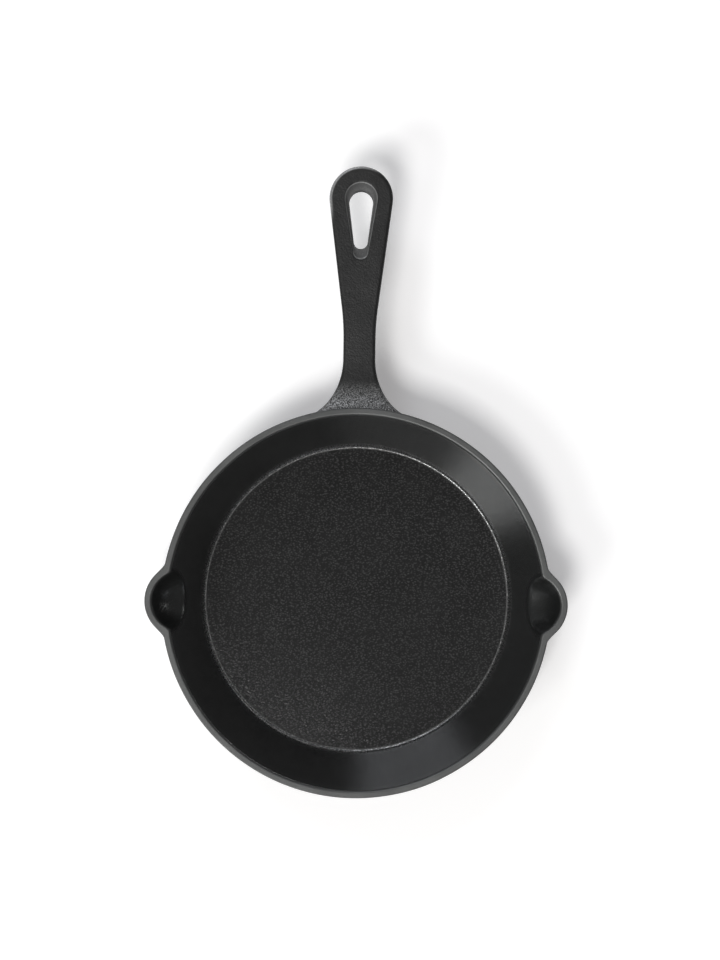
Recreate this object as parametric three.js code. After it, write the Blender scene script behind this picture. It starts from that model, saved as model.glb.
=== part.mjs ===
// Cast-iron skillet with two pour lips and a handle with a hanging eye.
// Millimetres, +Z up, handle along +Y. The origin is the middle of the underside, on the surface it rests on.
// The real pan is one casting: its sections are separate solids here, and they touch at shared faces.
import * as THREE from "three";
import { ParametricGeometry } from "three/addons/geometries/ParametricGeometry.js";

const degrees = Math.PI / 180;

// Bowl
const RIM_DIAMETER = 203;
const PAN_HEIGHT = 45;
const WALL_LEAN = 21.1 * degrees;
const WALL_THICKNESS = 3.6;
const FLOOR_THICKNESS = 4.5;
const COVE_RADIUS = 2;
const BASE_CORNER_RADIUS = 7;
const RIM_BAND_HEIGHT = 4;
const RIM_EDGE_RADIUS = 1;

// Pour lips: each swells out of the wall by LIP_REACH at the rim and ends in a rounded heel LIP_DROP below
const LIP_REACH = 8.6;
const LIP_NOSE_RADIUS = 19.5;
const LIP_DROP = 19.5;
const LIP_CURVE = 3.5;
const LIP_TAPER = 0.3;
const LIP_OUTER_BLEND = 4.2;
const LIP_INNER_BLEND = 2.2;

// Handle: HANDLE_DROP is how far its top starts below the rim
const HANDLE_REACH = 124.7;
const HANDLE_THICKNESS = 9;
const HANDLE_DROP = 6;
const HANDLE_RISE = 4.2 * degrees;
const HANDLE_TAPER = 7.33 * degrees;
const HANDLE_EDGE_RADIUS = 1.8;
const WAIST_WIDTH = 16.7;
const WAIST_BLEND = 1.1;
const EYE_RADIUS = 16.5;

// Root of the handle: a flare that follows part of an ellipse in plan and sweeps up to the rim
const ROOT_WIDTH = 45.1;
const ROOT_HEIGHT = 18;
const ROOT_LENGTH = 25.5;
const ROOT_SWEEP = 3;
const FLARE_ARC = 60.8 * degrees;

// Hanging hole, with a sloped border that is wider at its two ends
const HOLE_TIP_RADIUS = 6.2;
const HOLE_PAN_RADIUS = 3.6;
const HOLE_SPAN = 20.4;
const HOLE_OFFSET = 1.9;
const BORDER_SIDE = 2.6;
const BORDER_TIP = 4.3;
const BORDER_PAN = 5.8;
const BORDER_PAN_SIDE = 0.6;
const BORDER_DEPTH = 2;
const EYE_LAND = 6;

// How finely curves are cut into flats
const RING_STEPS = 96;
const CORNER_STEPS = 4;
const WALL_STEPS = 16;
const LIP_STEPS = 18;
const LIP_ROWS = 10;
const RIM_EDGE_STEPS = 2;
const HANDLE_EDGE_STEPS = 3;
const HANDLE_FLAT_STEPS = 6;
const ROOT_STEPS = 10;
const ROOT_ROWS = 2;
const SHANK_STEPS = 8;
const EYE_ARC_STEPS = 22;
const EYE_FLANK_STEPS = 5;

// Bowl sizes that follow
const rimRadius = RIM_DIAMETER / 2;
const wallSlope = Math.tan(WALL_LEAN);
const wallPlan = WALL_THICKNESS / Math.cos(WALL_LEAN);
const rimSeam = PAN_HEIGHT - RIM_BAND_HEIGHT;
const cornerRise = 1 - Math.sin(WALL_LEAN);
const coveCentre = innerWall(FLOOR_THICKNESS + COVE_RADIUS * cornerRise) - COVE_RADIUS * Math.cos(WALL_LEAN);
const baseCentre = outerWall(BASE_CORNER_RADIUS * cornerRise) - BASE_CORNER_RADIUS * Math.cos(WALL_LEAN);
const floorRadius = Math.min(coveCentre, baseCentre);
const lipHalfAngle = Math.asin(LIP_NOSE_RADIUS / (rimRadius + LIP_REACH - LIP_NOSE_RADIUS));

// Handle sizes that follow, as distances from the pan's axis along +Y
const handleTip = rimRadius + HANDLE_REACH;
const eyeCentre = handleTip - EYE_RADIUS;
const eyeTangent = eyeCentre - EYE_RADIUS * Math.sin(HANDLE_TAPER);
const rootSeam = rimRadius + ROOT_LENGTH;
const shankHalf = handleHalf(rootSeam);
const rootHalfAngle = Math.asin(ROOT_WIDTH / 2 / rimRadius);
const rootTop = PAN_HEIGHT - RIM_EDGE_RADIUS;
const rootBottom = rootTop - ROOT_HEIGHT;
const wallSeam = Math.min(PAN_HEIGHT - LIP_DROP, rootBottom);
const holeTipCentre = eyeCentre - HOLE_OFFSET;
const holePanCentre = holeTipCentre - HOLE_SPAN;
const borderTipRadius = HOLE_TIP_RADIUS + BORDER_SIDE;
const borderTipCentre = holeTipCentre + BORDER_TIP - BORDER_SIDE;
const borderPanRadius = HOLE_PAN_RADIUS + BORDER_PAN_SIDE;
const borderPanCentre = holePanCentre - BORDER_PAN + BORDER_PAN_SIDE;
const holeCircles = [HOLE_TIP_RADIUS, holeTipCentre, HOLE_PAN_RADIUS, holePanCentre];
const borderCircles = [borderTipRadius, borderTipCentre, borderPanRadius, borderPanCentre];
const eyeSeam = borderPanCentre - borderPanRadius - EYE_LAND;

const smoothIron = new THREE.MeshStandardMaterial({ color: 0x2b2c2c, roughness: 0.5, metalness: 0.6 });
const grainIron = new THREE.MeshStandardMaterial({ color: 0x323233, roughness: 0.65, metalness: 0.5 });
const rimIron = new THREE.MeshStandardMaterial({ color: 0x5a5a5a, roughness: 0.45, metalness: 0.7 });

const pan = new THREE.Group();
pan.name = "frying_pan";

function add(name, geometry, material) {
  const mesh = new THREE.Mesh(geometry, material);
  mesh.name = name;
  pan.add(mesh);
}

function mix(a, b, share) {
  return a + (b - a) * share;
}

// `count` even steps from one value to another, both ends included.
function steps(from, to, count) {
  return Array.from({ length: count + 1 }, (_, i) => mix(from, to, i / count));
}

// The larger of two sizes, rounded over where they are within `blend` of each other.
function smoothMax(a, b, blend) {
  const overlap = Math.max(blend - Math.abs(a - b), 0);
  return Math.max(a, b) + (overlap * overlap) / (4 * blend);
}

// How far a rounded edge has dropped at a distance in from the outline.
function edgeDrop(radius, inset) {
  const rest = THREE.MathUtils.clamp(radius - inset, 0, radius);
  return radius - Math.sqrt(radius ** 2 - rest ** 2);
}

// Insets at which a rounded edge is cut into flats, from the outline inwards.
function edgeInsets(radius, count) {
  return steps(0, Math.PI / 2, count).map((angle) => radius * (1 - Math.cos(angle)));
}

// A box of nu x nv x nw cells whose corners are moved to place(i, j, k).
function gridSolid(nu, nv, nw, place) {
  const box = new THREE.BoxGeometry(1, 1, 1, nu, nv, nw);
  const points = box.attributes.position;
  for (let n = 0; n < points.count; n++) {
    const i = Math.round((points.getX(n) + 0.5) * nu);
    const j = Math.round((points.getY(n) + 0.5) * nv);
    const k = Math.round((points.getZ(n) + 0.5) * nw);
    points.setXYZ(n, ...place(i, j, k));
  }
  return box;
}

// A ring that closes both ways: place(i, j) for nu places round it and nv places round its section.
function gridRing(nu, nv, place) {
  const put = (u, v, target) => target.set(...place(Math.round(u * nu) % nu, Math.round(v * nv) % nv));
  return new ParametricGeometry(put, nu, nv);
}

// A turned solid from (radius, height) points, leaving out a point that repeats the one before it.
function turned(profile) {
  const points = profile.filter((p, i) => i === 0 || !p.equals(profile[i - 1]));
  return new THREE.LatheGeometry(points, RING_STEPS).rotateX(Math.PI / 2);
}

// An arc in the section from straight down to square to the wall.
function cornerArc(centre, height, radius) {
  return steps(-Math.PI / 2, -WALL_LEAN, CORNER_STEPS).map(
    (a) => new THREE.Vector2(centre + radius * Math.cos(a), height + radius * Math.sin(a)),
  );
}

function outerWall(z) {
  return rimRadius - (PAN_HEIGHT - z) * wallSlope;
}

function innerWall(z) {
  return outerWall(z) - wallPlan;
}

// Distance from the axis to the wall's face in direction `angle`, with the pour lips on the X axis.
function bowlRadius(angle, z, inside) {
  const wall = inside ? innerWall(z) : outerWall(z);
  const blend = inside ? LIP_INNER_BLEND : LIP_OUTER_BLEND;
  const depth = Math.min((PAN_HEIGHT - z) / LIP_DROP, 1);
  const swell = 1 - (1 + blend / LIP_REACH) * depth ** LIP_CURVE;
  const noseAtRim = inside ? LIP_NOSE_RADIUS - wallPlan : LIP_NOSE_RADIUS;
  const nose = noseAtRim * (1 - depth) ** LIP_TAPER;
  const centre = wall + LIP_REACH * swell - nose;
  const across = centre * Math.abs(Math.sin(angle));
  if (depth >= 1 || across >= nose) return wall;
  const along = Math.sqrt(centre ** 2 - across ** 2) + Math.sqrt(nose ** 2 - across ** 2);
  return smoothMax(wall, along, blend);
}

// One stretch of wall from the foot to the rim band, cut at the given angles.
function wallStretch(angles, rows) {
  return gridSolid(angles.length - 1, 1, rows, (i, j, k) => {
    const z = mix(wallSeam, rimSeam, k / rows);
    const radius = bowlRadius(angles[i], z, j === 1);
    return [radius * Math.cos(angles[i]), radius * Math.sin(angles[i]), z];
  });
}

// Half the handle's width at distance y from the pan's axis, between the root and the eye's arc.
function handleHalf(y) {
  const flank = EYE_RADIUS / Math.cos(HANDLE_TAPER) + (y - eyeCentre) * Math.tan(HANDLE_TAPER);
  return smoothMax(WAIST_WIDTH / 2, flank, WAIST_BLEND);
}

// Height of the handle's top, before its edges are rounded.
function handleTop(y) {
  return PAN_HEIGHT - HANDLE_DROP + (y - rimRadius) * Math.tan(HANDLE_RISE);
}

// Places across the handle, as shares of its half width: close together where the edges are rounded.
function acrossShares(half) {
  const edge = edgeInsets(HANDLE_EDGE_RADIUS, HANDLE_EDGE_STEPS).map((inset) => 1 - inset / half);
  const flat = edge[edge.length - 1];
  const middle = steps(-flat, flat, HANDLE_FLAT_STEPS).slice(1, -1);
  return [...edge.map((share) => -share), ...middle, ...edge.reverse()];
}

// The wall and rim behind the root are cut at the root's own angles, so that their faces meet.
const rootShares = acrossShares(shankHalf);
const rootTurns = rootShares.map((share) => Math.asin(share * Math.sin(rootHalfAngle)));
const rootAngles = rootTurns.map((turn) => Math.PI / 2 + turn);
const backAngles = [
  ...steps(lipHalfAngle, Math.PI / 2 - rootHalfAngle, WALL_STEPS).slice(0, -1),
  ...rootAngles,
  ...steps(Math.PI / 2 + rootHalfAngle, Math.PI - lipHalfAngle, WALL_STEPS).slice(1),
];
const frontAngles = steps(Math.PI + lipHalfAngle, 2 * Math.PI - lipHalfAngle, 2 * WALL_STEPS);
const rightLipAngles = steps(-lipHalfAngle, lipHalfAngle, LIP_STEPS);
const leftLipAngles = steps(Math.PI - lipHalfAngle, Math.PI + lipHalfAngle, LIP_STEPS);

// Floor: a flat disc inside the cove.
const floorProfile = [
  new THREE.Vector2(0, 0),
  new THREE.Vector2(floorRadius, 0),
  new THREE.Vector2(floorRadius, FLOOR_THICKNESS),
  new THREE.Vector2(0, FLOOR_THICKNESS),
];
add("pan_floor", turned(floorProfile), grainIron);

// Foot of the wall: base corner outside, cove inside, up to below the pour lips and the handle's root.
const footProfile = [
  new THREE.Vector2(floorRadius, 0),
  ...cornerArc(baseCentre, BASE_CORNER_RADIUS, BASE_CORNER_RADIUS),
  new THREE.Vector2(outerWall(wallSeam), wallSeam),
  new THREE.Vector2(innerWall(wallSeam), wallSeam),
  ...cornerArc(coveCentre, FLOOR_THICKNESS + COVE_RADIUS, COVE_RADIUS).reverse(),
  new THREE.Vector2(floorRadius, FLOOR_THICKNESS),
  new THREE.Vector2(floorRadius, 0),
];
add("wall_foot", turned(footProfile), smoothIron);

// Upper wall and pour lips.
add("wall_back", wallStretch(backAngles, 1), smoothIron);
add("wall_front", wallStretch(frontAngles, 1), smoothIron);
add("pour_lip_right", wallStretch(rightLipAngles, LIP_ROWS), smoothIron);
add("pour_lip_left", wallStretch(leftLipAngles, LIP_ROWS), smoothIron);

// Rim band: the flat top of the wall and lips, with both edges rounded.
const rimStretches = [rightLipAngles, backAngles, leftLipAngles, frontAngles];
const rimAngles = rimStretches.flatMap((angles) => angles.slice(0, -1));
const rimSide = [
  { z: rimSeam, inset: 0 },
  ...edgeInsets(RIM_EDGE_RADIUS, RIM_EDGE_STEPS).map((inset) => ({
    z: PAN_HEIGHT - edgeDrop(RIM_EDGE_RADIUS, inset),
    inset,
  })),
];
const rimSection = [
  ...rimSide.map((point) => ({ ...point, inside: false })),
  ...rimSide.map((point) => ({ ...point, inside: true })).reverse(),
];
const rimBand = gridRing(rimAngles.length, rimSection.length, (i, j) => {
  const { z, inset, inside } = rimSection[j];
  const radius = bowlRadius(rimAngles[i], z, inside) + (inside ? inset : -inset);
  return [radius * Math.cos(rimAngles[i]), radius * Math.sin(rimAngles[i]), z];
});
add("rim_band", rimBand, rimIron);

// Root: its end lies on the wall and rim, and it narrows and sweeps down to the shank.
const root = gridSolid(rootShares.length - 1, ROOT_STEPS, ROOT_ROWS, (i, j, k) => {
  const along = j / ROOT_STEPS;
  const rise = k / ROOT_ROWS;
  const across = rootShares[i] * Math.sin(rootHalfAngle);
  const wall = outerWall(mix(rootBottom, rootTop, rise));
  const arc = Math.sin(FLARE_ARC) * (1 - along);
  const flare = (1 - Math.sqrt(1 - arc ** 2)) / (1 - Math.cos(FLARE_ARC));
  const sweep = (1 - along) ** ROOT_SWEEP;
  const middle = handleTop(mix(rimRadius, rootSeam, along));
  const drop = edgeDrop(HANDLE_EDGE_RADIUS, (1 - Math.abs(rootShares[i])) * shankHalf) * (1 - sweep);
  const top = mix(middle, rootTop, sweep) - drop;
  const bottom = mix(middle - HANDLE_THICKNESS, rootBottom, sweep) + drop;
  const x = mix(rootShares[i] * shankHalf, wall * across, flare);
  const y = mix(wall * Math.sqrt(1 - across ** 2), rootSeam, along);
  return [x, y, mix(bottom, top, rise)];
});
add("handle_root", root, grainIron);

// Shank: from the root to the eye, widening towards the tip.
const shank = gridSolid(rootShares.length - 1, SHANK_STEPS, 1, (i, j, k) => {
  const y = mix(rootSeam, eyeSeam, j / SHANK_STEPS);
  const half = handleHalf(y);
  const x = acrossShares(half)[i] * half;
  const drop = edgeDrop(HANDLE_EDGE_RADIUS, half - Math.abs(x));
  return [x, y, handleTop(y) - (k === 1 ? drop : HANDLE_THICKNESS - drop)];
});
add("handle_shank", shank, grainIron);

// The eye is laid out in four stretches round its hole.
const TIP_ARC = 0;
const LEFT_FLANK = 1;
const PAN_END = 2;
const RIGHT_FLANK = 3;

function arcPoint(centre, radius, angle) {
  return [radius * Math.cos(angle), centre + radius * Math.sin(angle)];
}

function mixPoints(a, b, share) {
  return [mix(a[0], b[0], share), mix(a[1], b[1], share)];
}

// A point of the loop round two circles, `share` of the way along one stretch.
function teardrop(tipRadius, tipCentre, panRadius, panCentre, stretch, share) {
  const lean = Math.asin((tipRadius - panRadius) / (tipCentre - panCentre));
  const left = Math.PI + lean;
  if (stretch === TIP_ARC) return arcPoint(tipCentre, tipRadius, mix(-lean, left, share));
  if (stretch === PAN_END) return arcPoint(panCentre, panRadius, mix(left, 2 * Math.PI - lean, share));
  const angle = stretch === LEFT_FLANK ? left : -lean;
  const fromTip = stretch === LEFT_FLANK ? share : 1 - share;
  return mixPoints(arcPoint(tipCentre, tipRadius, angle), arcPoint(panCentre, panRadius, angle), fromTip);
}

// The same for the handle's outline, whose end towards the pan is the flat seam with the shank.
function eyeOutline(stretch, share) {
  const turn = mix(-HANDLE_TAPER, Math.PI + HANDLE_TAPER, share);
  if (stretch === TIP_ARC) return arcPoint(eyeCentre, EYE_RADIUS, turn);
  if (stretch === PAN_END) return [mix(-1, 1, share) * handleHalf(eyeSeam), eyeSeam];
  const y = mix(eyeTangent, eyeSeam, stretch === LEFT_FLANK ? share : 1 - share);
  return [stretch === LEFT_FLANK ? -handleHalf(y) : handleHalf(y), y];
}

// How far in from the handle's outline a point of the eye lies.
function eyeInset(x, y) {
  if (y > eyeTangent) return EYE_RADIUS - Math.hypot(x, y - eyeCentre);
  return handleHalf(y) - Math.abs(x);
}

const arcShares = steps(0, 1, EYE_ARC_STEPS).slice(0, -1);
const flankShares = steps(0, 1, EYE_FLANK_STEPS).slice(0, -1);
const seamShares = acrossShares(handleHalf(eyeSeam)).slice(0, -1);
const eyeColumns = [
  ...arcShares.map((share) => [TIP_ARC, share]),
  ...flankShares.map((share) => [LEFT_FLANK, share]),
  ...seamShares.map((share) => [PAN_END, (share + 1) / 2]),
  ...flankShares.map((share) => [RIGHT_FLANK, share]),
];

// Rows of the eye's section: over the rounded edge to the border, down through the hole and back underneath.
const eyeEdge = edgeInsets(HANDLE_EDGE_RADIUS, HANDLE_EDGE_STEPS).map((inset) => ({ inset }));
const eyeRows = [
  ...eyeEdge,
  { atBorder: true },
  { atHole: true, sink: BORDER_DEPTH },
  { atHole: true, under: true },
  ...eyeEdge.map((row) => ({ ...row, under: true })).reverse(),
];
const eye = gridRing(eyeColumns.length, eyeRows.length, (i, j) => {
  const { inset, atHole, sink = 0, under } = eyeRows[j];
  const edge = eyeOutline(...eyeColumns[i]);
  const border = teardrop(...borderCircles, ...eyeColumns[i]);
  const hole = teardrop(...holeCircles, ...eyeColumns[i]);
  const reach = Math.hypot(border[0] - edge[0], border[1] - edge[1]);
  const inner = atHole ? hole : border;
  const [x, y] = inset === undefined ? inner : mixPoints(edge, border, inset / reach);
  const drop = edgeDrop(HANDLE_EDGE_RADIUS, eyeInset(x, y));
  return [x, y, handleTop(y) - (under ? HANDLE_THICKNESS - drop : drop + sink)];
});
add("handle_eye", eye, grainIron);

export default pan;
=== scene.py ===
"""A black cast-iron skillet with two pour lips and a handle with a hanging eye.

Metres, +Z up, handle along +Y, pour lips on the X axis, underside on z = 0.
"""
import math

import bpy
import numpy as np
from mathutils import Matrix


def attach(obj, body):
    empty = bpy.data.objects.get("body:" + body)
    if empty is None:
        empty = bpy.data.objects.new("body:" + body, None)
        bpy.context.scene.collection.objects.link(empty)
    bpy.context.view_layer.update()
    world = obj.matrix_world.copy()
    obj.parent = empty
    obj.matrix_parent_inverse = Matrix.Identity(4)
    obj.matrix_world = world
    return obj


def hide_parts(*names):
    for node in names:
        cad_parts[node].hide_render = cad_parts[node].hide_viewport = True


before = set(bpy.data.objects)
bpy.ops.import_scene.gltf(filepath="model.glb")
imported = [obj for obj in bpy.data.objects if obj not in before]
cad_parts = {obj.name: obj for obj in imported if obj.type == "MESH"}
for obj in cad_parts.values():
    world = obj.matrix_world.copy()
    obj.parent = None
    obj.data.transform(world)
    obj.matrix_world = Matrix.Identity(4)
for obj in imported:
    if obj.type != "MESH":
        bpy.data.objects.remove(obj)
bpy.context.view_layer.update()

MM = 0.001

# Bowl
RIM_RADIUS = 101.5 * MM
PAN_HEIGHT = 45 * MM
WALL_LEAN = math.radians(21.1)
WALL_THICKNESS = 3.6 * MM
FLOOR_THICKNESS = 4.5 * MM
COVE_RADIUS = 2 * MM
BASE_CORNER = 7 * MM
RIM_BAND = 4 * MM
RIM_EDGE = 1 * MM

# Pour lips
LIP_REACH = 8.6 * MM
LIP_NOSE = 19.5 * MM
LIP_DROP = 19.5 * MM
LIP_CURVE = 3.5
LIP_TAPER = 0.3
LIP_OUTER_BLEND = 4.2 * MM
LIP_INNER_BLEND = 2.2 * MM

# Handle
HANDLE_REACH = 124.7 * MM
HANDLE_THICKNESS = 9 * MM
HANDLE_DROP = 6 * MM
HANDLE_RISE = math.radians(4.2)
HANDLE_TAPER = math.radians(7.33)
HANDLE_EDGE = 1.8 * MM
WAIST_HALF = 8.35 * MM
WAIST_BLEND = 1.1 * MM
EYE_RADIUS = 16.5 * MM
ROOT_HALF = 22.55 * MM
ROOT_HEIGHT = 18 * MM
ROOT_LENGTH = 25.5 * MM
ROOT_SWEEP = 3
ROOT_BITE = 0.04
FLARE_ARC = math.radians(60.8)

# Hanging hole and its dished border
HOLE_TIP = 6.2 * MM
HOLE_PAN = 3.6 * MM
HOLE_SPAN = 20.4 * MM
HOLE_OFFSET = 1.9 * MM
BORDER_SIDE = 2.6 * MM
BORDER_TIP = 4.3 * MM
BORDER_PAN = 5.8 * MM
BORDER_PAN_SIDE = 0.6 * MM
BORDER_DEPTH = 2 * MM
EYE_LAND = 6 * MM

# Bowl sizes that follow
WALL_PLAN = WALL_THICKNESS / math.cos(WALL_LEAN)
RIM_SEAM = PAN_HEIGHT - RIM_BAND
CORNER_RISE = 1 - math.sin(WALL_LEAN)

# Handle sizes that follow, as distances from the pan's axis along +Y
HANDLE_TIP = RIM_RADIUS + HANDLE_REACH
EYE_CENTRE = HANDLE_TIP - EYE_RADIUS
EYE_TANGENT = EYE_CENTRE - EYE_RADIUS * math.sin(HANDLE_TAPER)
ROOT_SEAM = RIM_RADIUS + ROOT_LENGTH
ROOT_TOP = PAN_HEIGHT - RIM_EDGE
ROOT_BOTTOM = ROOT_TOP - ROOT_HEIGHT
HOLE_TIP_CENTRE = EYE_CENTRE - HOLE_OFFSET
HOLE_PAN_CENTRE = HOLE_TIP_CENTRE - HOLE_SPAN
HOLE = (HOLE_TIP, HOLE_TIP_CENTRE, HOLE_PAN, HOLE_PAN_CENTRE)
BORDER = (
    HOLE_TIP + BORDER_SIDE,
    HOLE_TIP_CENTRE + BORDER_TIP - BORDER_SIDE,
    HOLE_PAN + BORDER_PAN_SIDE,
    HOLE_PAN_CENTRE - BORDER_PAN + BORDER_PAN_SIDE,
)
EYE_SEAM = BORDER[3] - BORDER[2] - EYE_LAND

# How finely the surfaces are cut, which edges stay sharp and which points are welded
BOWL_COLUMNS = 720
LIP_CROWDING = 0.45
COVE_ROWS = 18
WALL_ROWS = 46
OUTER_ROWS = 34
EDGE_ROWS = 9
RIM_TOP_ROWS = 5
FLOOR_CELLS = 210
ACROSS_CELLS = 26
ROOT_ROWS = 60
SHANK_ROWS = 64
SIDE_ROWS = 5
EYE_ARC_CELLS = 110
EYE_FLANK_CELLS = 48
EYE_LAND_ROWS = 6
DISH_ROWS = 10
CREASE = math.radians(40)
WELD = 0.001 * MM

# Where the inside is polished, and the pale ring painted in the cove as its highlight: starts are shares up
# the cove
HIGHLIGHT_RING_STARTS = (0.1, 0.3)
HIGHLIGHT_RING_FADE = 3.5 * MM
COVE_POLISH_STARTS = (0.62, 0.9)
LIP_MATT_HALF = 16.5 * MM
LIP_MATT_ENDS = (0.94, 1.14)
LIP_POLISH = 0.08
RIM_POLISH_DEPTH = RIM_EDGE / 2

# Relief left by the sand mould: its width, height and seed, and how far it takes to start
NOISE_TABLE = 48
FLOOR_PEBBLE = 1.6 * MM
FINE_PEBBLE_SHARE = 0.5
FLOOR_RELIEF = 0.008 * MM
FLOOR_CALM = 4 * MM
FLOOR_SEEDS = (11, 12)
WALL_RIPPLE = 17 * MM
WALL_RELIEF = 0.07 * MM
WALL_CALM = 12 * MM
WALL_SEED = 3
HANDLE_PEBBLE = 2.4 * MM
HANDLE_RELIEF = 0.045 * MM
HANDLE_SEED = 7

# Sand grain, in pebble widths, and seasoning
GRAIN_BEND_SCALE = 0.7
GRAIN_BEND = 0.9
GRAIN_ROUNDING = 0.55
GRAIN_CRESTS = (0.34, 0.52)
GRIT_SCALE = 2.3
GRIT_ROUGHNESS = 0.6
BLOTCH_ROUGHNESS = 0.62
BLOTCH_RANGE = (0.3, 0.72)

# Floor finish: here and below, greys are linear
FLOOR_GREYS = (0.012, 0.017)
# Painted glints: the grain's crests are painted paler, as if they caught the light
FLOOR_GLINT_GREY = 0.048
FLOOR_CRESTS = (0.75, 1.25)
FLOOR_ROUGHNESS = (0.15, 0.11)
FLOOR_SPECULAR = 0.3
FLOOR_BLOTCH = 26 * MM
FLOOR_GRAIN = 0.9 * MM
FLOOR_GRIT = 0.6
FLOOR_STRETCH = (0.7, 1, 1)
FLOOR_BUMP = 0.034 * MM

# Wall finish, with the pale ring painted in the cove as its highlight, and the coat of oil
WALL_GREYS = (0.006, 0.009)
WALL_TINT = (0.92, 1, 0.97)
WALL_ROUGHNESS = 0.4
WALL_BLOTCH = 30 * MM
STREAK_WIDTH = 0.7 * MM
STREAK_LENGTH = 9 * MM
STREAK_SHARE = 0.24
STREAK_RANGE = (0.3, 0.7)
WALL_GRAIN = 0.8 * MM
WALL_GRIT = 0.7
WALL_BUMP = 0.1 * MM
SMOOTH_BUMP_SHARE = 0.15
# The ring's colour is a painted highlight: pale part-metal grey where the cove catches the light
RING_HIGHLIGHT_GREY = 0.34
RING_CRESTS = (0.75, 1.25)
RING_GRAIN_SHARE = 0.2
RING_METAL = 0.3
RING_ROUGHNESS = 0.3
OIL_IOR = 4
OIL_ROUGHNESS = 0.2

# Rim finish
RIM_GREYS = (0.088, 0.115)
RIM_TINT = (0.985, 1, 0.99)
RIM_ROUGHNESS = 0.6
RIM_EDGE_ROUGHNESS = 0.42
RIM_METAL = 0.85
RIM_GROUND_DEPTHS = (1.3 * RIM_EDGE, 0.8 * RIM_EDGE)
RIM_FLAT_DEPTH = 0.1 * RIM_EDGE
RIM_BLOTCH = 22 * MM
RIM_GRAIN = 0.7 * MM
RIM_GRIT = 0.8
RIM_BUMP = 0.03 * MM

# Handle finish, with a painted sheen on the root and painted highlights on the eye
HANDLE_GREYS = (0.008, 0.013)
HANDLE_ROUGHNESS = (0.56, 0.48)
HANDLE_SPECULAR = 0.3
HANDLE_BLOTCH = 18 * MM
HANDLE_GRAIN = 0.95 * MM
HANDLE_GRIT = 0.7
HANDLE_BUMP = 0.13 * MM
# The root's pale speckled metal is a painted sheen where it sweeps up to the rim
ROOT_SHEEN_GREY = 0.4
ROOT_SHEEN_SHARE = 0.6
ROOT_GRAIN = 0.6 * MM
ROOT_CRESTS = (0.38, 0.68)
ROOT_GRAIN_SHARE = 0.05
ROOT_SHEEN_DEPTHS = (9 * MM, 5.5 * MM)
# Painted highlights on the eye: pale metal on the tip's rounded edge and along the hole's border
EDGE_HIGHLIGHT_GREY = 0.7
EDGE_ROUGHNESS = 0.42
EDGE_HIGHLIGHT_DEPTHS = (3.4 * MM, 2.1 * MM)
EDGE_HIGHLIGHT_SIDE = (-0.1, 0.9)
EDGE_HIGHLIGHT_FULL = 0.6
EDGE_GRAIN_SHARE = 0.6
BORDER_LINE = 0.45 * MM
BORDER_LINE_SHARE = 0.42
BORDER_HIGHLIGHT = 0.15
PAINTED_SHEEN_METAL = 0.7

# Camera: height over the rim, place in plan, turn, lens and sensor in millimetres
CAMERA_HEIGHT = 1057 * MM
CAMERA_PLACE = (1.2 * MM, 63.9 * MM)
CAMERA_ROLL = math.radians(0.73)
CAMERA_LENS = 76.5
CAMERA_SENSOR = 36

# Lights: azimuth and elevation in degrees, width and height in metres, share of the light, colour
LIGHT_DISTANCE = 4
LIGHTS = {
    "key": (243, 68, 1.1, 1.1, 0.48, (1, 0.99, 0.98)),
    "low_key": (225, 45, 1.2, 1.1, 0.205, (0.98, 1, 0.99)),
    "cool_fill": (111, 45, 2.0, 1.2, 0.165, (0.92, 0.95, 1)),
    "front": (255, 46, 2.0, 1.0, 0.035, (1, 1, 1)),
}

# Studio and ground
STUDIO_LEVEL = 0.15
GROUND_GREY = 0.9
GROUND_LIFT = 0.24
GROUND_TINT = (1, 0.975, 0.98)
GROUND_HALF = 3


def outer_wall(z):
    """Radius of the wall's outer face: a cone that leans out with height."""
    return RIM_RADIUS - (PAN_HEIGHT - z) * math.tan(WALL_LEAN)


def inner_wall(z):
    """Radius of the wall's inner face, one wall in from the outer face."""
    return outer_wall(z) - WALL_PLAN


# Height where the cove meets the wall, and radii where the cove and the base corner start
COVE_TOP = FLOOR_THICKNESS + COVE_RADIUS * CORNER_RISE
COVE_CENTRE = inner_wall(COVE_TOP) - COVE_RADIUS * math.cos(WALL_LEAN)
BASE_CENTRE = outer_wall(BASE_CORNER * CORNER_RISE) - BASE_CORNER * math.cos(WALL_LEAN)


def mix(a, b, share):
    """The value a share of the way from a to b."""
    return a + (b - a) * share


def ease(value, low, high):
    """0 at or before `low`, 1 at or beyond `high`, eased in between."""
    share = np.clip((value - low) / (high - low), 0, 1)
    return share**2 * (3 - 2 * share)


def smooth_max(a, b, blend):
    """The larger of two sizes, rounded over by a parabola where they are within `blend` of each other."""
    overlap = np.maximum(blend - np.abs(a - b), 0)
    return np.maximum(a, b) + overlap**2 / (4 * blend)


def edge_insets(radius):
    """Distances in from an outline at even turns round a quarter-circle edge."""
    return radius * (1 - np.cos(np.linspace(0, np.pi / 2, EDGE_ROWS)))


def edge_drop(radius, inset):
    """How far a quarter-circle edge has dropped at a distance in from the outline."""
    rest = np.clip(radius - inset, 0, radius)
    return radius - np.sqrt(radius**2 - rest**2)


def mould_noise(points, cell, seed):
    """Smooth random heights from -1 to 1: numbers at the corners of cubic cells, eased in between."""
    table = np.random.default_rng(seed).uniform(-1, 1, (NOISE_TABLE,) * 3)
    low = np.floor(points / cell)
    share = ease(points / cell - low, 0, 1)
    low = low.astype(int)
    total = np.zeros(points.shape[:-1])
    for corner in np.ndindex(2, 2, 2):
        x, y, z = np.moveaxis((low + corner) % NOISE_TABLE, -1, 0)
        weight = np.where(np.array(corner) == 1, share, 1 - share).prod(axis=-1)
        total += table[x, y, z] * weight
    return total


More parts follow.
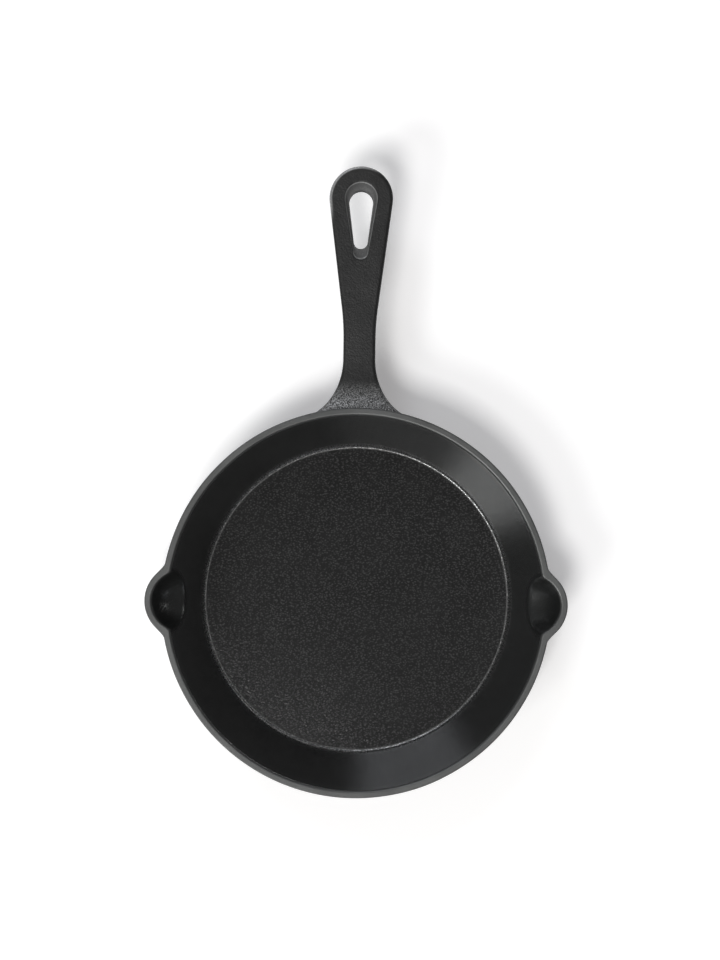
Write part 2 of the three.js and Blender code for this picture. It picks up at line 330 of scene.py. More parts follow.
def grid_quads(index, close_columns=False):
    """Quads between neighbouring rows and columns of a grid of point numbers."""
    if close_columns:
        index = np.concatenate([index, index[:, :1]], axis=1)
    a, b = index[:-1, :-1], index[:-1, 1:]
    c, d = index[1:, 1:], index[1:, :-1]
    return np.stack([a, b, c, d], axis=-1).reshape(-1, 4)


def outward(points, quads):
    """The quads, turned round if the body that they close has a negative volume."""
    a, b, c, d = (points[quads[:, k]] for k in range(4))
    volume = np.einsum("ij,ij->i", a, np.cross(b, c)) + np.einsum("ij,ij->i", a, np.cross(c, d))
    return quads if volume.sum() > 0 else quads[:, ::-1]


def add_object(name, data):
    """An object with this data, linked into the scene."""
    thing = bpy.data.objects.new(name, data)
    bpy.context.scene.collection.objects.link(thing)
    return thing


def make_piece(name, points, quads):
    """A mesh object at the origin, smooth but for edges that turn by more than CREASE."""
    quads = outward(points, quads)
    mesh = bpy.data.meshes.new(name)
    mesh.vertices.add(len(points))
    mesh.vertices.foreach_set("co", points.astype(np.float32).ravel())
    mesh.loops.add(quads.size)
    mesh.loops.foreach_set("vertex_index", quads.astype(np.int32).ravel())
    mesh.polygons.add(len(quads))
    mesh.polygons.foreach_set("loop_start", np.arange(0, quads.size, 4, dtype=np.int32))
    mesh.update(calc_edges=True)
    mesh.shade_smooth()
    mesh.set_sharp_from_angle(angle=CREASE)
    return add_object(name, mesh)


def stand_for(piece, slot, material, *nodes):
    """The piece takes the place of these solids, in this finish; the slot is not used."""
    piece.data.materials.append(material)
    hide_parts(*nodes)
    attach(piece, "root")


def bowl_angles():
    """Directions round the axis, closer together at the two pour lips."""
    turn = np.linspace(0, 2 * np.pi, BOWL_COLUMNS, endpoint=False)
    return turn - LIP_CROWDING * np.sin(2 * turn) / 2


def bowl_radius(angle, z, inside):
    """Wall cone, joined by a rounded maximum to a nose at each pour lip that fades downwards."""
    wall = inner_wall(z) if inside else outer_wall(z)
    nose_at_rim = LIP_NOSE - WALL_PLAN if inside else LIP_NOSE
    blend = LIP_INNER_BLEND if inside else LIP_OUTER_BLEND
    depth = np.clip((PAN_HEIGHT - z) / LIP_DROP, 0, 1)
    swell = 1 - (1 + blend / LIP_REACH) * depth**LIP_CURVE
    nose = nose_at_rim * (1 - depth) ** LIP_TAPER
    centre = wall + LIP_REACH * swell - nose
    across = centre * np.abs(np.sin(angle))
    chord = np.sqrt(np.maximum(nose**2 - across**2, 0))
    along = np.sqrt(np.maximum(centre**2 - across**2, 0)) + chord
    lip = smooth_max(wall, along, blend)
    return np.where((depth < 1) & (across < nose), lip, wall)


def round_axis(radius, z, angles):
    """Points at a radius and height for each row, carried round the axis."""
    radius, z, turn = np.broadcast_arrays(radius, z, angles)
    return np.stack([radius * np.cos(turn), radius * np.sin(turn), z], axis=-1)


def corner_arc(centre, base, radius, rows):
    """Radius and height along an arc from straight down to square to the wall."""
    turn = np.linspace(-np.pi / 2, -WALL_LEAN, rows)[:, None]
    return centre + radius * np.cos(turn), base + radius * (1 + np.sin(turn))


def ripple(points):
    """The slow unevenness of the moulded wall, moved along the radius and still at the floor and base."""
    share = np.clip((points[..., 2] - FLOOR_THICKNESS) / WALL_CALM, 0, 1)
    out = points * (1, 1, 0)
    out = out / np.linalg.norm(out, axis=-1, keepdims=True)
    height = WALL_RELIEF * share * mould_noise(points, WALL_RIPPLE, WALL_SEED)
    return points + out * height[..., None]


def mark_points(piece, name, shares):
    """A named share from 0 to 1 at each point of a piece, for its finish to read."""
    mark = piece.data.attributes.new(name, "FLOAT", "POINT")
    mark.data.foreach_set("value", shares.astype(np.float32).ravel())


def make_ring(name, blocks, **marks):
    """Blocks of rows that make one section loop, closed both ways, with a share per block for each mark."""
    grid = ripple(np.concatenate(blocks))
    index = np.arange(grid.shape[0] * grid.shape[1]).reshape(grid.shape[:2])
    loop = np.concatenate([index, index[:1]])
    ring = make_piece(name, grid.reshape(-1, 3), grid_quads(loop, close_columns=True))
    for mark, shares in marks.items():
        spread = [np.broadcast_to(share, block.shape[:2]) for block, share in zip(blocks, shares)]
        mark_points(ring, mark, np.concatenate(spread))
    return ring


def wall_polish(angles, z):
    """1 on the smooth inner wall, falling to LIP_POLISH inside an ellipse round each pour lip."""
    across = RIM_RADIUS * np.sin(angles) / LIP_MATT_HALF
    down = (PAN_HEIGHT - z) / LIP_DROP
    return mix(LIP_POLISH, 1, ease(np.hypot(across, down), *LIP_MATT_ENDS))


def make_bowl_wall():
    """One section loop carried round the axis: up the cove and inner face, down the outer face and base."""
    angles = bowl_angles()
    cove_radius, cove_z = corner_arc(COVE_CENTRE, FLOOR_THICKNESS, COVE_RADIUS, COVE_ROWS)
    base_radius, base_z = corner_arc(BASE_CENTRE, 0, BASE_CORNER, COVE_ROWS)
    inner_z = np.linspace(cove_z[-1, 0], RIM_SEAM, WALL_ROWS)[1:, None]
    outer_z = np.linspace(RIM_SEAM, base_z[-1, 0], OUTER_ROWS)[:-1, None]
    rows = [
        round_axis(cove_radius, cove_z, angles),
        round_axis(bowl_radius(angles, inner_z, True), inner_z, angles),
        round_axis(bowl_radius(angles, outer_z, False), outer_z, angles),
        round_axis(base_radius[::-1], base_z[::-1], angles),
    ]
    up_cove = np.linspace(0, 1, COVE_ROWS)[:, None]
    # Painted highlight ring: strongest low in the cove, fading up the wall
    wall_worn = ease(inner_z, COVE_TOP + HIGHLIGHT_RING_FADE, COVE_TOP)
    return make_ring(
        "bowl_wall", rows,
        polish=[ease(up_cove, *COVE_POLISH_STARTS), wall_polish(angles, inner_z), 0, 0],
        worn=[ease(up_cove, *HIGHLIGHT_RING_STARTS), wall_worn, 0, 0],
    )


def make_rim():
    """The flat top of wall and lips: up the inner face, over two rounded edges, down the outer face."""
    angles = bowl_angles()
    inset = edge_insets(RIM_EDGE)[:, None]
    edge_z = PAN_HEIGHT - edge_drop(RIM_EDGE, inset)
    side_z = np.linspace(RIM_SEAM, edge_z[0, 0], RIM_TOP_ROWS)[:-1, None]
    inner = bowl_radius(angles, edge_z, True) + inset
    outer = bowl_radius(angles, edge_z, False) - inset
    across = np.linspace(0, 1, RIM_TOP_ROWS + 2)[1:-1, None]
    rows = [
        round_axis(bowl_radius(angles, side_z, True), side_z, angles),
        round_axis(inner, edge_z, angles),
        round_axis(mix(inner[-1], outer[-1], across), PAN_HEIGHT, angles),
        round_axis(outer[::-1], edge_z[::-1], angles),
        round_axis(bowl_radius(angles, side_z[::-1], False), side_z[::-1], angles),
    ]
    edge_polish = ease(edge_z, PAN_HEIGHT - RIM_POLISH_DEPTH, edge_z[0, 0]) * wall_polish(angles, edge_z)
    return make_ring("ground_rim", rows, polish=[wall_polish(angles, side_z), edge_polish, 0, 0, 0])


def disc_grid(cells, radius):
    """A square grid pressed into a disc: its rings become circles that stay evenly apart."""
    side = np.linspace(-1, 1, cells + 1)
    a, b = np.meshgrid(side, side)
    wide = np.abs(a) > np.abs(b)
    reach = np.where(wide, a, b)
    other = np.where(wide, b, a)
    lean = np.pi / 4 * other / np.where(reach == 0, 1, reach)
    turn = np.where(wide, lean, np.pi / 2 - lean)
    return radius * reach * np.cos(turn), radius * reach * np.sin(turn)


def border_of(index):
    """The point numbers round the edge of a grid, in order."""
    return np.concatenate([index[0, :-1], index[:-1, -1], index[-1, :0:-1], index[:0:-1, 0]])


def make_floor():
    """A disc with pebbled relief on its top, joined at its edge to the smaller flat underside."""
    x, y = disc_grid(FLOOR_CELLS, COVE_CENTRE)
    top = np.stack([x, y, np.full_like(x, FLOOR_THICKNESS)], axis=-1)
    calm = np.clip((COVE_CENTRE - np.hypot(x, y)) / FLOOR_CALM, 0, 1)
    coarse_seed, fine_seed = FLOOR_SEEDS
    coarse = mould_noise(top, FLOOR_PEBBLE, coarse_seed)
    fine = mould_noise(top, FLOOR_PEBBLE / 2, fine_seed)
    pebble = coarse + FINE_PEBBLE_SHARE * fine
    top[..., 2] += FLOOR_RELIEF * calm * pebble
    under = np.stack([x, y, np.zeros_like(x)], axis=-1) * BASE_CENTRE / COVE_CENTRE
    index = np.arange(x.size).reshape(x.shape)
    edge = np.stack([border_of(index), border_of(index) + x.size])
    quads = np.concatenate([
        grid_quads(index),
        grid_quads(index + x.size)[:, ::-1],
        grid_quads(edge, close_columns=True)[:, ::-1],
    ])
    points = np.concatenate([top.reshape(-1, 3), under.reshape(-1, 3)])
    return make_piece("cooking_floor", points, quads)


def handle_half(y):
    """Half the handle's width: a straight waist, rounded into flanks that spread to the eye."""
    flank = EYE_RADIUS / math.cos(HANDLE_TAPER) + (y - EYE_CENTRE) * math.tan(HANDLE_TAPER)
    return smooth_max(WAIST_HALF, flank, WAIST_BLEND)


def handle_top(y):
    """Height of the handle's top before its edges are rounded: a straight line that rises to the tip."""
    return PAN_HEIGHT - HANDLE_DROP + (y - RIM_RADIUS) * math.tan(HANDLE_RISE)


def across_handle(half):
    """Places across the handle for each half width: close on the rounded edges, even in between."""
    half = np.asarray(half)[..., None]
    edge = half - edge_insets(HANDLE_EDGE)
    flat = (half - HANDLE_EDGE) * np.linspace(-1, 1, ACROSS_CELLS + 1)[1:-1]
    return np.concatenate([-edge, flat, edge[..., ::-1]], axis=-1)


def handle_skin(x, y, inset, under, sink=0):
    """Points on the handle's top or underside, dropped by the rounded edge and by `sink`."""
    drop = edge_drop(HANDLE_EDGE, inset)
    z = handle_top(y) - (HANDLE_THICKNESS - drop if under else drop + sink)
    return np.stack(np.broadcast_arrays(x, y, z), axis=-1)


def root_sheet(under):
    """The root's top or underside: width follows part of an ellipse, height a power curve up to the rim."""
    along = np.linspace(-ROOT_BITE, 1, ROOT_ROWS + 1)[:-1, None]
    shank_half = handle_half(ROOT_SEAM)
    place = across_handle(shank_half)
    wall = outer_wall(ROOT_BOTTOM if under else ROOT_TOP)
    lean = place / shank_half * ROOT_HALF / RIM_RADIUS
    arc = math.sin(FLARE_ARC) * (1 - along)
    flare = (1 - np.sqrt(1 - arc**2)) / (1 - math.cos(FLARE_ARC))
    sweep = (1 - along) ** ROOT_SWEEP
    middle = handle_top(mix(RIM_RADIUS, ROOT_SEAM, along))
    drop = edge_drop(HANDLE_EDGE, shank_half - np.abs(place)) * np.clip(1 - sweep, 0, 1)
    x = mix(place, wall * lean, flare)
    y = mix(wall * np.sqrt(1 - lean**2), ROOT_SEAM, along)
    low = mix(middle - HANDLE_THICKNESS, ROOT_BOTTOM, sweep) + drop
    high = mix(middle, ROOT_TOP, sweep) - drop
    return np.stack([x, y, np.broadcast_to(low if under else high, x.shape)], axis=-1)


def shank_sheet(under):
    """The shank's top or underside, from the root to the eye."""
    y = np.linspace(ROOT_SEAM, EYE_SEAM, SHANK_ROWS + 1)
    half = handle_half(y)
    x = across_handle(half)
    return handle_skin(x, y[:, None], half[:, None] - np.abs(x), under)


def eye_shares():
    """Shares along the eye's four stretches: tip arc, left flank, end towards the pan, right flank."""
    arc = np.linspace(0, 1, EYE_ARC_CELLS + 1)[:-1]
    flank = np.linspace(0, 1, EYE_FLANK_CELLS + 1)[:-1]
    half = handle_half(EYE_SEAM)
    seam = across_handle(half)[:-1]
    return arc, flank, (seam / half + 1) / 2, flank


def arc_points(centre, radius, turn):
    """Points in plan at these turns round a centre on the handle's middle line."""
    return np.stack([radius * np.cos(turn), centre + radius * np.sin(turn)], axis=-1)


def teardrop(tip_radius, tip_centre, pan_radius, pan_centre):
    """The loop of a belt round two circles, in the eye's four stretches."""
    arc, left, seam, right = eye_shares()
    lean = math.asin((tip_radius - pan_radius) / (tip_centre - pan_centre))
    far = np.pi + lean
    ends = [arc_points(c, r, far) for c, r in ((tip_centre, tip_radius), (pan_centre, pan_radius))]
    mirror = np.array([-1, 1])
    return np.concatenate([
        arc_points(tip_centre, tip_radius, mix(-lean, far, arc)),
        mix(ends[0], ends[1], left[:, None]),
        arc_points(pan_centre, pan_radius, mix(far, 2 * np.pi - lean, seam)),
        mix(ends[1], ends[0], right[:, None]) * mirror,
    ])


def eye_outline():
    """The handle's outline in the eye's four stretches, closed by the seam with the shank."""
    arc, left, _, right = eye_shares()
    half = handle_half(EYE_SEAM)
    left_y = mix(EYE_TANGENT, EYE_SEAM, left)
    right_y = mix(EYE_SEAM, EYE_TANGENT, right)
    place = across_handle(half)[:-1]
    return np.concatenate([
        arc_points(EYE_CENTRE, EYE_RADIUS, mix(-HANDLE_TAPER, np.pi + HANDLE_TAPER, arc)),
        np.stack([-handle_half(left_y), left_y], axis=-1),
        np.stack([place, np.full_like(place, EYE_SEAM)], axis=-1),
        np.stack([handle_half(right_y), right_y], axis=-1),
    ])


def eye_inset(x, y):
    """How far in from the handle's outline a point of the eye lies."""
    tip = EYE_RADIUS - np.hypot(x, y - EYE_CENTRE)
    return np.where(y > EYE_TANGENT, tip, handle_half(y) - np.abs(x))


def eye_sheet(under):
    """The eye's top or underside: rows from the outline in to the hole, dished inside the border on top."""
    edge, border, hole = eye_outline(), teardrop(*BORDER), teardrop(*HOLE)
    reach = np.linalg.norm(border - edge, axis=-1)
    rim = edge_insets(HANDLE_EDGE)[:, None] / reach
    land = mix(rim[-1], 1, np.linspace(0, 1, EYE_LAND_ROWS + 1)[1:, None])
    outer = mix(edge, border, np.concatenate([rim, land])[..., None])
    dish = np.linspace(0, 1, DISH_ROWS + 1)[1:]
    inner = mix(border, hole, dish[:, None, None])
    sink = np.concatenate([np.zeros(len(outer)), BORDER_DEPTH * np.sin(dish * np.pi / 2)])
    x, y = np.moveaxis(np.concatenate([outer, inner]), -1, 0)
    return handle_skin(x, y, eye_inset(x, y), under, sink[:, None])


def inside_teardrop(x, y, tip_radius, tip_centre, pan_radius, pan_centre):
    """How far inside the belt round two circles a point lies, negative outside it."""
    span = tip_centre - pan_centre
    lean = (tip_radius - pan_radius) / span
    flank = math.sqrt(1 - lean**2)
    along = np.abs(x) * lean + (y - pan_centre) * flank
    tip = tip_radius - np.hypot(x, y - tip_centre)
    pan = pan_radius - np.hypot(x, y - pan_centre)
    side = pan_radius - np.abs(x) * flank + (y - pan_centre) * lean
    return np.where(along < 0, pan, np.where(along > flank * span, tip, side))


def eye_highlight_marks(points):
    """Painted highlight: pale metal on the rounded edge, most at the tip's left where the light catches it,
    a thin painted highlight line inside the border and a lighter dish.
    """
    x, y = points[:, 0], points[:, 1]
    side = (y - EYE_CENTRE - x) / (math.sqrt(2) * EYE_RADIUS)
    edge = np.clip(1 - eye_inset(x, y) / HANDLE_EDGE, 0, 1) * ease(side, *EDGE_HIGHLIGHT_SIDE)
    inside = inside_teardrop(x, y, *BORDER) / BORDER_LINE
    line = BORDER_LINE_SHARE * np.clip(1 - np.abs(inside - 1), 0, 1)
    return np.maximum(edge, np.maximum(line, BORDER_HIGHLIGHT * np.clip(inside, 0, 1)))


def side_rows(top, under):
    """Rows from a run of points on top to the run below it."""
    return mix(top, under, np.linspace(0, 1, SIDE_ROWS + 1)[:, None, None])


def weld(grids):
    """Points and quads of several grids, with points that coincide made one."""
    sizes = [g.shape[0] * g.shape[1] for g in grids]
    starts = np.cumsum([0] + sizes)
    quads = [
        grid_quads(np.arange(size).reshape(g.shape[:2])) + start
        for g, size, start in zip(grids, sizes, starts)
    ]
    points = np.concatenate([g.reshape(-1, 3) for g in grids])
    places = np.round(points / WELD)
    _, first, same = np.unique(places, axis=0, return_index=True, return_inverse=True)
    return points[first], same.reshape(-1)[np.concatenate(quads)]


def make_handle():
    """Root and shank as one pair of sheets, the eye as a ring of sheets round its hole, welded together."""
    arm_top, arm_under = (np.concatenate([root_sheet(u), shank_sheet(u)]) for u in (False, True))
    eye_top, eye_under = (eye_sheet(u) for u in (False, True))
    eye_top, eye_under = (np.concatenate([g, g[:, :1]], axis=1) for g in (eye_top, eye_under))
    seam_start = EYE_ARC_CELLS + EYE_FLANK_CELLS
    seam_end = eye_top.shape[1] - 1 - EYE_FLANK_CELLS
    grids = [
        arm_top[:, ::-1],
        arm_under,
        side_rows(arm_top[:, 0], arm_under[:, 0]),
        side_rows(arm_under[:, -1], arm_top[:, -1]),
        side_rows(arm_top[0, ::-1], arm_under[0, ::-1]),
        eye_top,
        eye_under[:, ::-1],
        side_rows(eye_under[0, : seam_start + 1], eye_top[0, : seam_start + 1]),
        side_rows(eye_under[0, seam_end:], eye_top[0, seam_end:]),
        side_rows(eye_top[-1], eye_under[-1]),
    ]
    points, quads = weld(grids)
    # Painted highlights of the eye, kept on the points for the finish
    wear_and_highlight = eye_highlight_marks(points)
    points[:, 2] += HANDLE_RELIEF * mould_noise(points, HANDLE_PEBBLE, HANDLE_SEED)
    handle = make_piece("cast_handle", points, quads)
    mark_points(handle, "worn", wear_and_highlight)
    return handle


def feed(tree, node, inputs):
    """Each input of a node given as a value or as another node's output."""
    for socket, value in inputs.items():
        if isinstance(value, bpy.types.NodeSocket):
            tree.links.new(value, node.inputs[socket])
        else:
            node.inputs[socket].default_value = value


def put(tree, kind, inputs=None, **settings):
    """A new node with its settings and inputs."""
    node = tree.nodes.new(kind)
    for name, value in settings.items():
        setattr(node, name, value)
    feed(tree, node, inputs or {})
    return node


def maths(tree, operation, a, b=0.0, c=0.0):
    """One sum on values or outputs."""
    return put(tree, "ShaderNodeMath", {0: a, 1: b, 2: c}, operation=operation).outputs[0]


def vector_maths(tree, operation, a, b=(0, 0, 0), c=(0, 0, 0)):
    """One sum on vectors or outputs."""
    return put(tree, "ShaderNodeVectorMath", {0: a, 1: b, 2: c}, operation=operation).outputs[0]


def in_sizes(tree, place, size):
    """A place counted in sizes of a pattern, so that a pattern of scale 1 comes out about this large."""
    inputs = {0: place, "Scale": maths(tree, "DIVIDE", 1.0, size)}
    return put(tree, "ShaderNodeVectorMath", inputs, operation="SCALE").outputs[0]


def ramp(tree, value, low, high, to_low=0.0, to_high=1.0):
    """A value eased from one range to another and held at its ends."""
    inputs = {"Value": value, "From Min": low, "From Max": high, "To Min": to_low, "To Max": to_high}
    return put(tree, "ShaderNodeMapRange", inputs, interpolation_type="SMOOTHSTEP").outputs[0]


def noise(tree, place, scale, detail, roughness=0.5):
    """The outputs of a cloudy noise, with this many finer layers."""
    inputs = {"Vector": place, "Scale": scale, "Detail": detail, "Roughness": roughness}
    return put(tree, "ShaderNodeTexNoise", inputs).outputs


def bump(tree, height, distance):
    """A normal bent by a height pattern, where a height of 1 is this many metres."""
    return put(tree, "ShaderNodeBump", {"Height": height, "Distance": distance}).outputs[0]


def mix_values(tree, share, a, b):
    """A value a share of the way from one to another."""
    return put(tree, "ShaderNodeMix", {0: share, 2: a, 3: b}, data_type="FLOAT").outputs[0]


def mix_colours(tree, share, a, b):
    """A colour a share of the way from one to another."""
    return put(tree, "ShaderNodeMix", {0: share, 6: a, 7: b}, data_type="RGBA").outputs[2]


def share_of(tree, mark):
    """The share that the piece's points carry under this name."""
    return put(tree, "ShaderNodeAttribute", attribute_name=mark).outputs["Fac"]


def grey(level, tint=(1, 1, 1)):
    """A linear grey, tinted, as an opaque colour."""
    return (level * tint[0], level * tint[1], level * tint[2], 1)


def new_group(name, inputs, outputs):
    """An empty node group with named sockets, the outputs that it is given and its output node."""
    tree = bpy.data.node_groups.new(name, "ShaderNodeTree")
    for label, kind in inputs:
        tree.interface.new_socket(label, in_out="INPUT", socket_type=kind)
    for label, kind in outputs:
        tree.interface.new_socket(label, in_out="OUTPUT", socket_type=kind)
    return tree, tree.nodes.new("NodeGroupInput").outputs, tree.nodes.new("NodeGroupOutput")


def sand_grain_group():
    """Pebbles left by moulding sand: rounded cells of about the given size with finer grit on them."""
    tree, given, out = new_group(
        "sand_grain",
        [("Vector", "NodeSocketVector"), ("Size", "NodeSocketFloat"), ("Grit", "NodeSocketFloat")],
        [("Height", "NodeSocketFloat"), ("Crest", "NodeSocketFloat")],
    )
    place = in_sizes(tree, given["Vector"], given["Size"])
    bend = noise(tree, place, GRAIN_BEND_SCALE, detail=1)["Color"]
    bent = vector_maths(tree, "MULTIPLY_ADD", bend, (GRAIN_BEND,) * 3, place)
    inputs = {"Vector": bent, "Scale": 1.0, "Smoothness": GRAIN_ROUNDING}
    cells = put(tree, "ShaderNodeTexVoronoi", inputs, feature="SMOOTH_F1")
    pebble = maths(tree, "SUBTRACT", 1.0, cells.outputs["Distance"])
    grit = noise(tree, place, GRIT_SCALE, detail=2, roughness=GRIT_ROUGHNESS)["Fac"]
    feed(tree, out, {
        "Height": maths(tree, "MULTIPLY_ADD", grit, given["Grit"], pebble),
        "Crest": ramp(tree, maths(tree, "MULTIPLY", pebble, grit), *GRAIN_CRESTS),
    })
    return tree


def seasoning_group():
    """Baked-on oil: slow blotches between a darker and a lighter tone, and how far the oil is rubbed thin
    at each place.
    """
    tree, given, out = new_group(
        "seasoning",
        [("Vector", "NodeSocketVector"), ("Size", "NodeSocketFloat"),
         ("Dark", "NodeSocketColor"), ("Light", "NodeSocketColor")],
        [("Color", "NodeSocketColor"), ("Wear", "NodeSocketFloat")],
    )
    place = in_sizes(tree, given["Vector"], given["Size"])
    blotch = noise(tree, place, scale=1, detail=4, roughness=BLOTCH_ROUGHNESS)["Fac"]
    wear_and_highlight = ramp(tree, blotch, *BLOTCH_RANGE)
    feed(tree, out, {"Color": mix_colours(tree, wear_and_highlight, given["Dark"], given["Light"]), "Wear": wear_and_highlight})
    return tree


SAND_GRAIN = sand_grain_group()
SEASONING = seasoning_group()


def sand_grain(tree, place, size, grit):
    """The sand grain's outputs, for pebbles of this size with this share of grit."""
    inputs = {"Vector": place, "Size": size, "Grit": grit}
    return put(tree, "ShaderNodeGroup", inputs, node_tree=SAND_GRAIN).outputs


def seasoning(tree, place, size, greys, tint=(1, 1, 1)):
    """The seasoning's outputs, for blotches of this size between two greys."""
    dark, light = (grey(level, tint) for level in greys)
    inputs = {"Vector": place, "Size": size, "Dark": dark, "Light": light}
    return put(tree, "ShaderNodeGroup", inputs, node_tree=SEASONING).outputs


def new_finish(name):
    """A material, its nodes, its shader and the place on the piece that its patterns read."""
    material = bpy.data.materials.new(name)
    material.use_nodes = True
    tree = material.node_tree
    place = put(tree, "ShaderNodeTexCoord").outputs["Object"]
    return material, tree, tree.nodes["Principled BSDF"], place


def oil_coat(tree, shader, weight):
    """A clear coat of baked-on oil, as strong as `weight`."""
    feed(tree, shader, {"Coat Weight": weight, "Coat IOR": OIL_IOR, "Coat Roughness": OIL_ROUGHNESS})


def pebbled_floor_finish():
    """Black seasoning over the pebbled floor, paler on the crests as painted glints, and glossier where its
    seasoning is rubbed thin.
    """
    material, tree, shader, place = new_finish("pebbled_floor_iron")
    laid = vector_maths(tree, "MULTIPLY", place, FLOOR_STRETCH)
    grain = sand_grain(tree, laid, FLOOR_GRAIN, FLOOR_GRIT)
    oil = seasoning(tree, place, FLOOR_BLOTCH, FLOOR_GREYS)
    # Painted glints on the grain's crests
    crests = ramp(tree, grain["Height"], *FLOOR_CRESTS)
    feed(tree, shader, {
        "Base Color": mix_colours(tree, crests, oil["Color"], grey(FLOOR_GLINT_GREY)),
        "Roughness": mix_values(tree, oil["Wear"], *FLOOR_ROUGHNESS),
        "Specular IOR Level": FLOOR_SPECULAR,
        "Normal": bump(tree, grain["Height"], FLOOR_BUMP),
    })
    return material


def wall_streaks(tree, place):
    """Fine streaks down the wall: noise laid out round the axis and drawn out along the height."""
    turn = vector_maths(tree, "NORMALIZE", vector_maths(tree, "MULTIPLY", place, (1, 1, 0)))
    down = vector_maths(tree, "MULTIPLY", place, (0, 0, 1 / STREAK_LENGTH))
    laid = vector_maths(tree, "MULTIPLY_ADD", turn, (RIM_RADIUS / STREAK_WIDTH,) * 3, down)
    return noise(tree, laid, scale=1, detail=3)["Fac"]


def smooth_wall_finish():
    """Sand-cast iron outside; inside, smooth iron under baked-on oil, with a pale metallic ring painted in
    the cove as its highlight.
    """
    material, tree, shader, place = new_finish("smooth_wall_iron")
    polish, worn = (share_of(tree, mark) for mark in ("polish", "worn"))
    grain = sand_grain(tree, place, WALL_GRAIN, WALL_GRIT)
    oil = seasoning(tree, place, WALL_BLOTCH, WALL_GREYS, WALL_TINT)
    crests = ramp(tree, grain["Height"], *RING_CRESTS, to_low=RING_GRAIN_SHARE)
    # Painted highlight ring, grainy on the crests
    painted_sheen = maths(tree, "MULTIPLY", worn, crests)
    smooth = maths(tree, "MAXIMUM", polish, worn)
    depth = mix_values(tree, smooth, 1.0, SMOOTH_BUMP_SHARE)
    height = maths(tree, "MULTIPLY", grain["Height"], depth)
    feed(tree, shader, {
        "Base Color": mix_colours(tree, painted_sheen, oil["Color"], grey(RING_HIGHLIGHT_GREY)),
        "Metallic": ramp(tree, painted_sheen, 0.0, RING_METAL),
        "Roughness": mix_values(tree, worn, WALL_ROUGHNESS, RING_ROUGHNESS),
        "Normal": bump(tree, height, WALL_BUMP),
    })
    streaks = ramp(tree, wall_streaks(tree, place), *STREAK_RANGE, to_low=1 - STREAK_SHARE)
    oil_coat(tree, shader, maths(tree, "MULTIPLY", polish, streaks))
    return material


def ground_rim_finish():
    """Paler ground iron along the flat top, the wall's black seasoning on the two sides."""
    material, tree, shader, place = new_finish("ground_rim_iron")
    height = put(tree, "ShaderNodeSeparateXYZ", {0: place}).outputs["Z"]
    top = ramp(tree, height, *(PAN_HEIGHT - depth for depth in RIM_GROUND_DEPTHS))
    flat = ramp(tree, height, PAN_HEIGHT - RIM_FLAT_DEPTH, PAN_HEIGHT)
    top_roughness = mix_values(tree, flat, RIM_EDGE_ROUGHNESS, RIM_ROUGHNESS)
    grain = sand_grain(tree, place, RIM_GRAIN, RIM_GRIT)
    oil = seasoning(tree, place, RIM_BLOTCH, RIM_GREYS, RIM_TINT)
    side = grey(WALL_GREYS[1], WALL_TINT)
    feed(tree, shader, {
        "Base Color": mix_colours(tree, top, side, oil["Color"]),
        "Metallic": maths(tree, "MULTIPLY", top, RIM_METAL),
        "Roughness": mix_values(tree, top, WALL_ROUGHNESS, top_roughness),
        "Normal": bump(tree, grain["Height"], RIM_BUMP),
    })
    oil_coat(tree, shader, share_of(tree, "polish"))
    return material


def root_painted_sheen(tree, place, axes):
    """Share of painted sheen where the root sweeps up to the rim, most on the crests of a fine speckle."""
    along = ramp(tree, axes["Y"], RIM_RADIUS + ROOT_LENGTH * ROOT_SHEEN_SHARE, RIM_RADIUS)
    upper = ramp(tree, axes["Z"], *(ROOT_TOP - depth for depth in ROOT_SHEEN_DEPTHS))
    speckle = noise(tree, place, 1 / ROOT_GRAIN, detail=1)["Fac"]
    crests = ramp(tree, speckle, *ROOT_CRESTS, to_low=ROOT_GRAIN_SHARE)
    return maths(tree, "MULTIPLY", maths(tree, "MULTIPLY", along, upper), crests)


def worn_eye(tree, axes, crests):
    """Share of painted highlight at the eye's marks, down to a depth below the handle's sloping top."""
    level = maths(tree, "MULTIPLY_ADD", axes["Y"], math.tan(HANDLE_RISE), handle_top(0))
    upper = ramp(tree, maths(tree, "SUBTRACT", level, axes["Z"]), *EDGE_HIGHLIGHT_DEPTHS)
    edge = maths(tree, "MULTIPLY", ramp(tree, share_of(tree, "worn"), 0.0, EDGE_HIGHLIGHT_FULL), upper)
    return maths(tree, "MULTIPLY", edge, mix_values(tree, crests, EDGE_GRAIN_SHARE, 1.0))


def sand_cast_handle_finish():
    """Black sand-cast iron, with a painted sheen where the root sweeps up to the rim and painted highlights
    on the eye's edges.
    """
    material, tree, shader, place = new_finish("sand_cast_handle_iron")
    axes = put(tree, "ShaderNodeSeparateXYZ", {0: place}).outputs
    grain = sand_grain(tree, place, HANDLE_GRAIN, HANDLE_GRIT)
    oil = seasoning(tree, place, HANDLE_BLOTCH, HANDLE_GREYS)
    painted_sheen = root_painted_sheen(tree, place, axes)
    worn = worn_eye(tree, axes, grain["Crest"])
    # Painted highlights on the eye and painted sheen on the root
    colour = mix_colours(tree, worn, oil["Color"], grey(EDGE_HIGHLIGHT_GREY))
    rough = mix_values(tree, oil["Wear"], *HANDLE_ROUGHNESS)
    feed(tree, shader, {
        "Base Color": mix_colours(tree, painted_sheen, colour, grey(ROOT_SHEEN_GREY)),
        "Metallic": ramp(tree, maths(tree, "MAXIMUM", painted_sheen, worn), 0.0, PAINTED_SHEEN_METAL),
        "Roughness": mix_values(tree, worn, rough, EDGE_ROUGHNESS),
        "Specular IOR Level": HANDLE_SPECULAR,
        "Normal": bump(tree, grain["Height"], HANDLE_BUMP),
    })
    return material


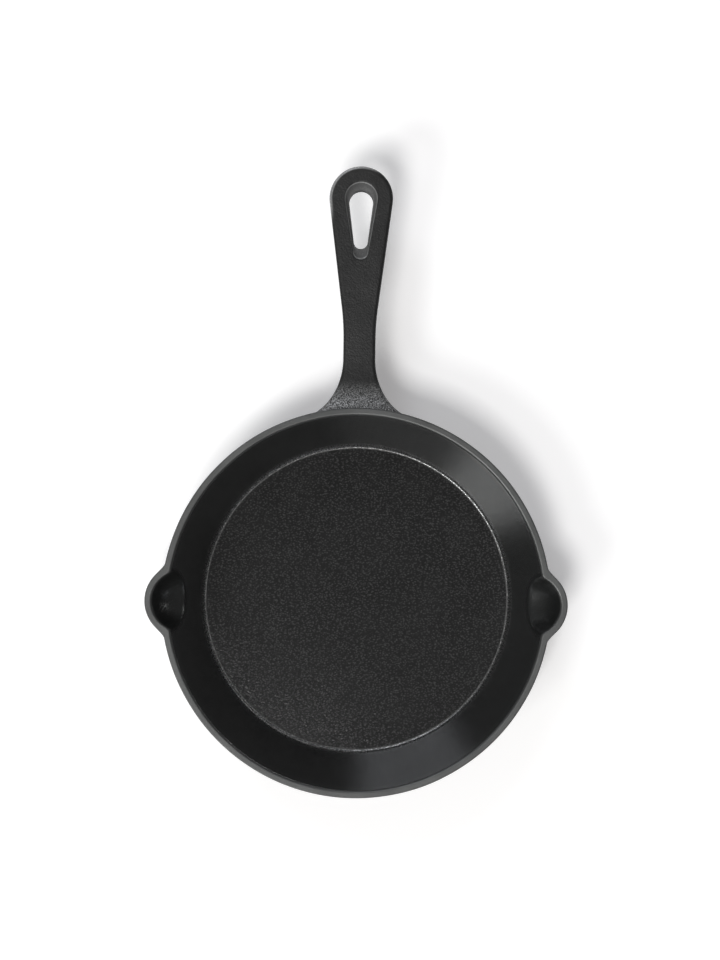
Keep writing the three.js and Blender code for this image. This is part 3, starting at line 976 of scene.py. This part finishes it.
stand_for(make_floor(), "iron_grain", pebbled_floor_finish(), "pan_floor")
stand_for(
    make_bowl_wall(), "iron_smooth", smooth_wall_finish(),
    "wall_foot", "wall_back", "wall_front", "pour_lip_right", "pour_lip_left",
)
stand_for(make_rim(), "iron_rim", ground_rim_finish(), "rim_band")
stand_for(
    make_handle(), "iron_handle", sand_cast_handle_finish(),
    "handle_root", "handle_shank", "handle_eye",
)


def make_ground():
    """A wide pale sheet under the pan: shaded where the pan keeps light off it, white elsewhere."""
    corners = [(x * GROUND_HALF, y * GROUND_HALF, 0) for x, y in ((-1, -1), (1, -1), (1, 1), (-1, 1))]
    mesh = bpy.data.meshes.new("ground")
    mesh.from_pydata(corners, [], [(0, 1, 2, 3)])
    ground = add_object("ground", mesh)
    material, tree, shader, _ = new_finish("white_ground")
    seen = put(tree, "ShaderNodeLightPath").outputs["Is Camera Ray"]
    feed(tree, shader, {
        "Base Color": grey(GROUND_GREY),
        "Roughness": 1,
        "Emission Color": grey(1, GROUND_TINT),
        "Emission Strength": maths(tree, "MULTIPLY", seen, GROUND_LIFT),
    })
    mesh.materials.append(material)


def add_light(name, azimuth, elevation, width, height, share, colour):
    """A soft rectangle facing the pan, whose power follows from its share of light, distance and slope."""
    a, e = math.radians(azimuth), math.radians(elevation)
    data = bpy.data.lights.new(name, "AREA")
    data.energy = share * (math.pi * LIGHT_DISTANCE) ** 2 / math.sin(e)
    data.shape = "RECTANGLE"
    data.size, data.size_y = width, height
    data.color = colour
    light = add_object(name, data)
    out = (math.cos(e) * math.cos(a), math.cos(e) * math.sin(a), math.sin(e))
    light.location = [LIGHT_DISTANCE * part for part in out]
    light.rotation_euler = (math.pi / 2 - e, 0, a + math.pi / 2)


def light_pan():
    """The lamps, and a dim studio that the camera sees as white."""
    for name, values in LIGHTS.items():
        add_light(name, *values)
    world = bpy.data.worlds.new("studio")
    bpy.context.scene.world = world
    world.use_nodes = True
    tree = world.node_tree
    seen = put(tree, "ShaderNodeLightPath").outputs["Is Camera Ray"]
    strength = mix_values(tree, seen, STUDIO_LEVEL, 1.0)
    feed(tree, tree.nodes["Background"], {"Color": grey(1), "Strength": strength})


def add_camera():
    """Looks straight down from over the pan, turned a little about its own axis."""
    data = bpy.data.cameras.new("camera")
    data.sensor_width = CAMERA_SENSOR
    data.lens = CAMERA_LENS
    camera = add_object("camera", data)
    camera.location = (*CAMERA_PLACE, PAN_HEIGHT + CAMERA_HEIGHT)
    camera.rotation_euler = (0, 0, CAMERA_ROLL)
    bpy.context.scene.camera = camera


make_ground()
light_pan()
add_camera()
bpy.context.scene.view_settings.view_transform = "Standard"
